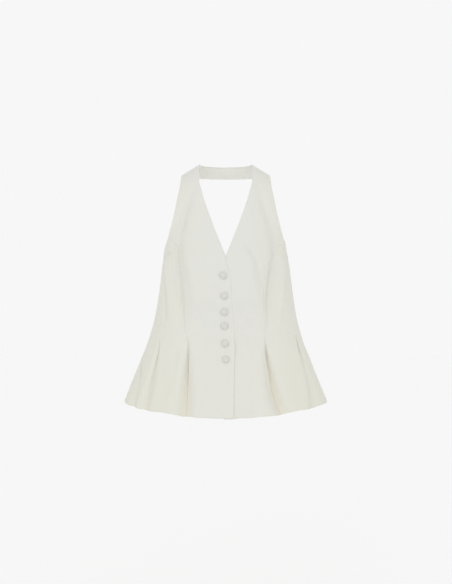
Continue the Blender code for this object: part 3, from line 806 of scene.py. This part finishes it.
def front_layer(side, across, drops, finish):
    """How far out a front lies: the upper one's free edge lifts, and the under one lies a layer in."""
    if side < 0:
        lifted = bell(drops - EDGE_LIFT_DROP, EDGE_LIFT_TALL)
        lifted = lifted + EDGE_LIFT_BELOW * smooth((drops - EDGE_LIFT_FROM) / EDGE_LIFT_RUN)
        return EDGE_LIFT * smooth((EDGE_LIFT_ACROSS - across) / EDGE_LIFT_WIDE) * lifted
    inset = (finish.thickness / MM + LAP_GAP) * smooth((LAP_END - across) / (LAP_END - LAP_FULL))
    return -inset * smooth((drops - LAP_TOP) / LAP_RUN)


def front_panel(side, finish):
    here, drops = front_grid(side)
    half_width, _, _, square = section(drops)
    sine = np.sin(np.radians(here))
    across = half_width * np.abs(sine) ** (2 / square) * np.sign(sine)
    layer = front_layer(side, across, drops, finish)
    left, right, top, bottom = edge_distances(skin(here * side, drops, layer))
    out = layer + edge_finish("lapped" if side < 0 else "free", left, finish)
    out = out + edge_finish("sewn", top, finish) + edge_finish("free", bottom, finish)
    sewn = smooth((drops - PRINCESS_TOP + SEAM_BLEND) / SEAM_BLEND)
    out = out + (1 - sewn) * edge_finish("free", right, finish) + sewn * edge_finish("sewn", right, finish)
    out = out + sewn * pucker(right, top, finish, PUCKER_PITCHES[0])
    if side < 0:
        for place in BUTTONS:
            beside = np.hypot(across - place.across, (drops - place.drop) * DIMPLE_FLAT)
            out = out - DIMPLE * bell(beside - DIMPLE_AWAY, DIMPLE_WIDE)
    points = skin(here * side, drops, out)
    if side > 0:
        hangs = smooth((UNDER_HANGS_ACROSS - across) / UNDER_HANGS_WIDE)
        points[..., 2] -= UNDER_HANGS * hangs * smooth((drops - UNDER_HANGS_FROM) / UNDER_HANGS_RUN)
    node = "front_right" if side < 0 else "front_left"
    folds = painted_fold_light_share(here * side, drops)
    return cloth_panel(node, points, left, top, folds, finish, side)


def set_in_panel(node, angles, drops, finish, outwards=1, corner=0.0):
    """A panel sewn along both sides and free at its top and hem. Its top edge's roll starts over the
    corner's length."""
    left, right, top, bottom = edge_distances(skin(angles, drops))
    rim = edge_finish("free", top, finish)
    if corner:
        rim = rim * smooth(left / corner)
    out = edge_finish("sewn", left, finish) + edge_finish("sewn", right, finish)
    out = out + rim + edge_finish("free", bottom, finish)
    for away, pitch in zip((left, right), PUCKER_PITCHES):
        out = out + pucker(away, top, finish, pitch)
    points = skin(angles, drops, out)
    return cloth_panel(node, points, left, top, painted_fold_light_share(angles, drops), finish, outwards)


def side_panel(side, finish):
    angles, drops = [], []
    end = SIDE_SEAM - SEAM_GAP
    for drop in runs(*ROWS):
        start = float(seam_angle(side, drop)) + SEAM_GAP
        centres = [start, *line_centres(side, False, drop)]
        places = crowded(start, end, centres, SIDE_COLUMNS)
        top = look_up(SIDE_TOP, "share", "drop", (places - start) / (end - start))
        row = (drop - PRINCESS_TOP) / (HEM_DROP - PRINCESS_TOP)
        angles.append(places)
        drops.append(top + (HEM_DROP - top) * row)
    name = "right" if side < 0 else "left"
    angles, drops = np.array(angles) * side, np.array(drops)
    return set_in_panel(f"side_{name}", angles, drops, finish, side, CORNER_BLEND)


def back_panel(finish):
    angles, drops = [], []
    start = SIDE_SEAM + SEAM_GAP
    for row in runs(*BACK_ROWS):
        centres = line_centres(1, True, UNDERARM + (HEM_DROP - UNDERARM) * row)
        centres = centres + [360 - centre for centre in centres]
        places = crowded(start, 360 - start, centres, BACK_COLUMNS)
        top = UNDERARM + BACK_TOP_DIP * np.sin(np.radians(places - SIDE_SEAM)) ** 2
        angles.append(places)
        drops.append(top + (HEM_DROP - top) * row)
    return set_in_panel("back", np.array(angles), np.array(drops), finish)


def neck_band(finish):
    """The band behind the neck, from one shoulder seam to the other, with painted light on its paler facing
    inside.
    """
    turn = math.pi * crowded(0, 1, (), BAND_COLUMNS)[None, :]
    share = crowded(0, 1, (), BAND_ROWS)[:, None]
    drop_out = SHOULDER_SLOPE * (STRAP_OUT - STRAP_IN)
    across = STRAP_IN + (STRAP_OUT - STRAP_IN) * share
    behind = BAND_TOP_BACK + (BAND_LOW_BACK - BAND_TOP_BACK) * share
    low = drop_out + (BAND_BACK_DROP - drop_out) * np.sin(turn) ** 2
    points = np.stack([across * np.cos(turn), behind * np.sin(turn) + SHOULDER_GAP, -low * share], axis=-1)
    left, right, top, bottom = edge_distances(points)
    normal = np.cross(np.gradient(points, axis=0), np.gradient(points, axis=1))
    normal = normal / np.linalg.norm(normal, axis=2, keepdims=True)
    out = edge_finish("free", top, finish) + edge_finish("free", bottom, finish)
    out = out + edge_finish("sewn", left, finish) + edge_finish("sewn", right, finish)
    out = out + BAND_RIPPLE * np.sin(turn * 7 + 0.6) * np.sin(math.pi * share)
    points = points + normal * out[..., None]
    piece = cloth_panel("neck_band", points, top, left, 0 * left, finish)
    # The facing is the same crepe painted paler: painted light on the shaded inner face
    piece.data.materials.append(finish_material("facing"))
    piece.modifiers["wall"].material_offset = 1
    return piece


def button_rounds(finish, turn):
    """The rounds of points of a covered button, from beside its crown to under its rim, in mm."""
    radius, height = finish.button_radius / MM, finish.button_height / MM
    around = np.radians(np.linspace(0, 360, BUTTON_SPOKES, endpoint=False))[None, :]
    rise = np.radians(np.linspace(90, -BUTTON_UNDER, BUTTON_ROUNDS))[:, None]
    gathers = sum(run.height * np.sin(around * run.around + run.shift * turn) for run in GATHERS)
    ring = radius * np.cos(rise) ** BUTTON_FLANK
    ring = ring + gathers * smooth((np.cos(rise) - RIM_FROM) / (1 - RIM_FROM))
    level = BUTTON_RIM + (height - BUTTON_RIM) * np.sin(np.maximum(rise, 0)) ** BUTTON_CROWN
    level = level + BUTTON_RIM * np.sin(np.minimum(rise, 0)) / math.sin(math.radians(BUTTON_UNDER))
    level = level + CROWN_UNEVEN * np.sin(around * 5 + turn) * np.cos(rise)
    return np.stack([ring * np.cos(around), ring * np.sin(around), level], axis=-1)[1:]


def stand_on_front(piece, place):
    """Stands a button on the upper front, square to the cloth."""
    drop = np.array(place.drop)
    angle = angle_of(np.array(place.across), drop)
    round_it = skin(angle + 1, drop) - skin(angle - 1, drop)
    down_it = skin(angle, drop + 3) - skin(angle, drop - 3)
    normal = Vector(np.cross(down_it, round_it)).normalized()
    if normal.y > 0:
        normal = -normal
    piece.location = (Vector(skin(angle, drop)) + normal * BUTTON_CLEARANCE) * MM
    piece.rotation_euler = normal.to_track_quat("Z", "Y").to_euler()


def covered_button(number, place, finish):
    """A covered button: cloth drawn over a domed shell and gathered under its rim."""
    points = button_rounds(finish, place.turn)
    rows, columns = points.shape[:2]
    index = np.arange(rows * columns).reshape(rows, columns)
    after = np.roll(index, -1, axis=1)
    faces = np.stack([index[:-1], index[1:], after[1:], after[:-1]], axis=-1).reshape(-1, 4).tolist()
    crown, base = rows * columns, rows * columns + 1
    faces += [(crown, int(a), int(b)) for a, b in zip(index[0], after[0])]
    faces += [(base, int(b), int(a)) for a, b in zip(index[-1], after[-1])]
    middles = [[0, 0, finish.button_height / MM], [0, 0, points[-1, :, 2].mean()]]
    corners = np.concatenate([points.reshape(-1, 3), middles])
    maps = {"threads": corners[:, :2] * MM, "folds": 0 * corners[:, :2]}
    piece = make_piece(f"covered_button_{number}", corners, faces, maps, finish_material("button"))
    stand_on_front(piece, place)
    node = f"button_{number}"
    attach(piece, BODY)
    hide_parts(node)
    return piece


def make_floor(studio):
    """A sheet of pale paper that reaches past the picture's edges."""
    mesh = bpy.data.meshes.new("floor")
    signs = ((-1, -1), (1, -1), (1, 1), (-1, 1))
    mesh.from_pydata([(x * FLOOR_REACH, y * FLOOR_REACH, 0) for x, y in signs], [], [(0, 1, 2, 3)])
    floor = bpy.data.objects.new("floor", mesh)
    floor.location.z = studio.floor_height
    bpy.context.scene.collection.objects.link(floor)
    paper = bpy.data.materials.new("studio_paper")
    paper.use_nodes = True
    shader = paper.node_tree.nodes["Principled BSDF"]
    shader.inputs["Base Color"].default_value = linear(studio.floor_colour)
    shader.inputs["Roughness"].default_value = 0.9
    shader.inputs["Specular IOR Level"].default_value = 0.0
    shader.inputs["Emission Color"].default_value = (1, 1, 1, 1)
    shader.inputs["Emission Strength"].default_value = studio.floor_glow
    mesh.materials.append(paper)


def make_room(studio):
    """White walls all round, the brightest behind the camera, and a dimmer ceiling, so that cloth that
    turns away or leans back looks a little darker."""
    world = bpy.data.worlds.new("studio")
    world.use_nodes = True
    tree = world.node_tree
    background = tree.nodes["Background"]
    background.inputs["Color"].default_value = linear(studio.backdrop_colour)
    look = add_node(tree, "TexCoord").outputs["Generated"]
    way = add_node(tree, "SeparateXYZ", i0=look)
    up, ahead = way.outputs["Z"], way.outputs["Y"]
    level = add_node(tree, "MapRange", SMOOTHSTEP, i0=up, i1=0.3, i2=1.0, i3=1.0, i4=studio.ceiling)
    front = add_node(tree, "MapRange", SMOOTHSTEP, i0=ahead, i1=-0.2, i2=-0.9, i3=1.0, i4=studio.front_wall)
    both = add_node(tree, "Math", MULTIPLY, i0=level, i1=front)
    tree.links.new(both.outputs[0], background.inputs["Strength"])
    bpy.context.scene.world = world


def make_light(studio):
    """One large softbox, up and to the left beside the camera."""
    light = bpy.data.lights.new("front_softbox", "AREA")
    light.shape = "SQUARE"
    light.size = SOFTBOX_SIZE
    light.energy = studio.front_power
    softbox = bpy.data.objects.new("front_softbox", light)
    softbox.location = SOFTBOX_PLACE
    aim = Vector(SOFTBOX_AIM) - softbox.location
    softbox.rotation_euler = aim.to_track_quat("-Z", "Y").to_euler()
    softbox.visible_camera = False
    bpy.context.scene.collection.objects.link(softbox)


def make_camera(studio):
    lens = bpy.data.cameras.new("camera")
    lens.lens = studio.focal_length
    lens.sensor_width = 36.0
    lens.clip_end = 50.0
    camera = bpy.data.objects.new("camera", lens)
    camera.location = (CAMERA_ACROSS, -studio.camera_distance, studio.camera_height)
    camera.rotation_euler = (math.radians(90), 0, 0)
    bpy.context.scene.collection.objects.link(camera)
    bpy.context.scene.camera = camera


def number(name, description, default, **limits):
    return bpy.props.FloatProperty(name=name, description=description, default=default, **limits)


def length(name, description, default, **limits):
    return number(name, description, default, unit="LENGTH", **limits)


def screen_colour(name, description, default):
    return bpy.props.StringProperty(name=name, description=f"{description}, as hex", default=default)


class WaistcoatFinish(bpy.types.PropertyGroup):
    """The cloth, its edges and seams, and the buttons."""

    thickness: length("Cloth thickness", "Thickness of the shell of cloth", 0.0011, min=0.0005, max=0.0015)
    seam_depth: length("Seam depth", "How far the cloth sinks into a seam", 0.00025, min=0.0, max=0.0015)
    seam_width: length("Seam width", "Half width of the sunk line at a seam", 0.0024, min=0.0005, max=0.005)
    turn_depth: length("Turned edge depth", "How far a free edge rolls in", 0.0008, min=0.0, max=0.0015)
    turn_width: length("Turned edge width", "How wide a free edge's roll is", 0.0024, min=0.0005, max=0.005)
    pucker: length("Seam pucker", "Height of the gathers beside a seam", 0.00018, min=0.0, max=0.0006)
    thread_spacing: length("Thread spacing", "Between the drawn threads", 0.0009, min=0.0003, max=0.003)
    cloth_colour: screen_colour("Cloth colour", "Screen colour of the cloth", "DCDCD6")
    # The cloth's warmer cast is partly random patches and partly painted shade towards the sides and hem
    cloth_cast_and_painted_shade: screen_colour("Cloth's warmer cast", "Colour where the cloth looks warmer", "DEDDD1")
    # The warm bounce light painted deep in the folds
    painted_fold_light_colour: screen_colour("Colour in folds", "Colour of the cloth deep in its folds", "DFDCCF")
    # The band's facing colour is painted paler than the cloth, as painted light
    facing_painted_light_colour: screen_colour("Band facing colour", "Paler facing inside the neck band", "F1F1EA")
    # The buttons' colours are painted darker than the cloth, as painted shade
    button_painted_shade_colour: screen_colour("Button cloth colour", "Colour of the buttons' cloth", "D4D3CD")
    button_cast_and_painted_shade: screen_colour("Button's warmer cast", "Warmer colour of the buttons' cloth", "D0CEC6")
    button_radius: length("Button radius", "Radius of a covered button", 0.0076, min=0.005, max=0.012)
    button_height: length("Button height", "Height of a button's dome", 0.0046, min=0.002, max=0.008)


class WaistcoatStudio(bpy.types.PropertyGroup):
    """The floor, light and camera."""

    backdrop_colour: screen_colour("Backdrop colour", "Colour of the background", "F7F7F7")
    floor_colour: screen_colour("Floor colour", "Colour of the floor", "F6F6F6")
    floor_height: length("Floor height", "Height of the floor below the strap tops", -1.08)
    ceiling: number("Ceiling", "Its brightness, as a share of the walls'", 0.85, min=0.0, max=1.0)
    front_wall: number("Wall behind the camera", "Its share of the others' light", 1.32, min=0.0)
    front_power: number("Softbox power", "Up beside the camera", 3.5, min=0.0, unit="POWER")
    floor_glow: number("Floor glow", "How strongly the paper is lit from beneath", 0.095, min=0.0)
    camera_distance: length("Camera distance", "From the camera to the side seams", 2.5)
    camera_height: length("Camera height", "Height of the camera above the strap tops", -0.2871)
    focal_length: number("Focal length", "Focal length of the lens", 68.49, unit="CAMERA")


class WAISTCOAT_OT_fronts(bpy.types.Operator):
    """Make the two fronts with their straps"""

    bl_idname = "waistcoat.fronts"
    bl_label = "Make Fronts"

    def execute(self, context):
        for side in (-1, 1):
            front_panel(side, context.scene.waistcoat_finish)
        return {"FINISHED"}


class WAISTCOAT_OT_sides(bpy.types.Operator):
    """Make the two side panels with their pleats"""

    bl_idname = "waistcoat.sides"
    bl_label = "Make Side Panels"

    def execute(self, context):
        for side in (-1, 1):
            side_panel(side, context.scene.waistcoat_finish)
        return {"FINISHED"}


class WAISTCOAT_OT_back(bpy.types.Operator):
    """Make the low back with its four pleats"""

    bl_idname = "waistcoat.back"
    bl_label = "Make Back"

    def execute(self, context):
        back_panel(context.scene.waistcoat_finish)
        return {"FINISHED"}


class WAISTCOAT_OT_neck_band(bpy.types.Operator):
    """Make the band behind the neck"""

    bl_idname = "waistcoat.neck_band"
    bl_label = "Make Neck Band"

    def execute(self, context):
        neck_band(context.scene.waistcoat_finish)
        return {"FINISHED"}


class WAISTCOAT_OT_buttons(bpy.types.Operator):
    """Make the six covered buttons"""

    bl_idname = "waistcoat.buttons"
    bl_label = "Make Buttons"

    def execute(self, context):
        for number, place in enumerate(BUTTONS, 1):
            covered_button(number, place, context.scene.waistcoat_finish)
        return {"FINISHED"}


class WAISTCOAT_OT_stage(bpy.types.Operator):
    """Make the floor, the light and the camera"""

    bl_idname = "waistcoat.stage"
    bl_label = "Make Studio"

    def execute(self, context):
        studio = context.scene.waistcoat_studio
        for make in (make_floor, make_room, make_light, make_camera):
            make(studio)
        context.scene.view_settings.view_transform = "Standard"
        return {"FINISHED"}


STEPS = (
    WAISTCOAT_OT_stage,
    WAISTCOAT_OT_fronts,
    WAISTCOAT_OT_sides,
    WAISTCOAT_OT_back,
    WAISTCOAT_OT_neck_band,
    WAISTCOAT_OT_buttons,
)


class WAISTCOAT_PT_panel(bpy.types.Panel):
    """Lists the steps and the values that they use"""

    bl_idname = "WAISTCOAT_PT_panel"
    bl_label = "Halter Waistcoat Top"
    bl_space_type = "VIEW_3D"
    bl_region_type = "UI"
    bl_category = "Waistcoat"

    def draw(self, context):
        for step in STEPS:
            self.layout.operator(step.bl_idname)
        for group in (context.scene.waistcoat_finish, context.scene.waistcoat_studio):
            box = self.layout.box()
            for name in group.__annotations__:
                box.prop(group, name)


CLASSES = (WaistcoatFinish, WaistcoatStudio, *STEPS, WAISTCOAT_PT_panel)


def register():
    for kind in CLASSES:
        bpy.utils.register_class(kind)
    bpy.types.Scene.waistcoat_finish = bpy.props.PointerProperty(type=WaistcoatFinish)
    bpy.types.Scene.waistcoat_studio = bpy.props.PointerProperty(type=WaistcoatStudio)


def unregister():
    del bpy.types.Scene.waistcoat_studio
    del bpy.types.Scene.waistcoat_finish
    for kind in reversed(CLASSES):
        bpy.utils.unregister_class(kind)


def main():
    register()
    for step in STEPS:
        group, name = step.bl_idname.split(".")
        getattr(getattr(bpy.ops, group), name)()


if __name__ == "__main__":
    main()
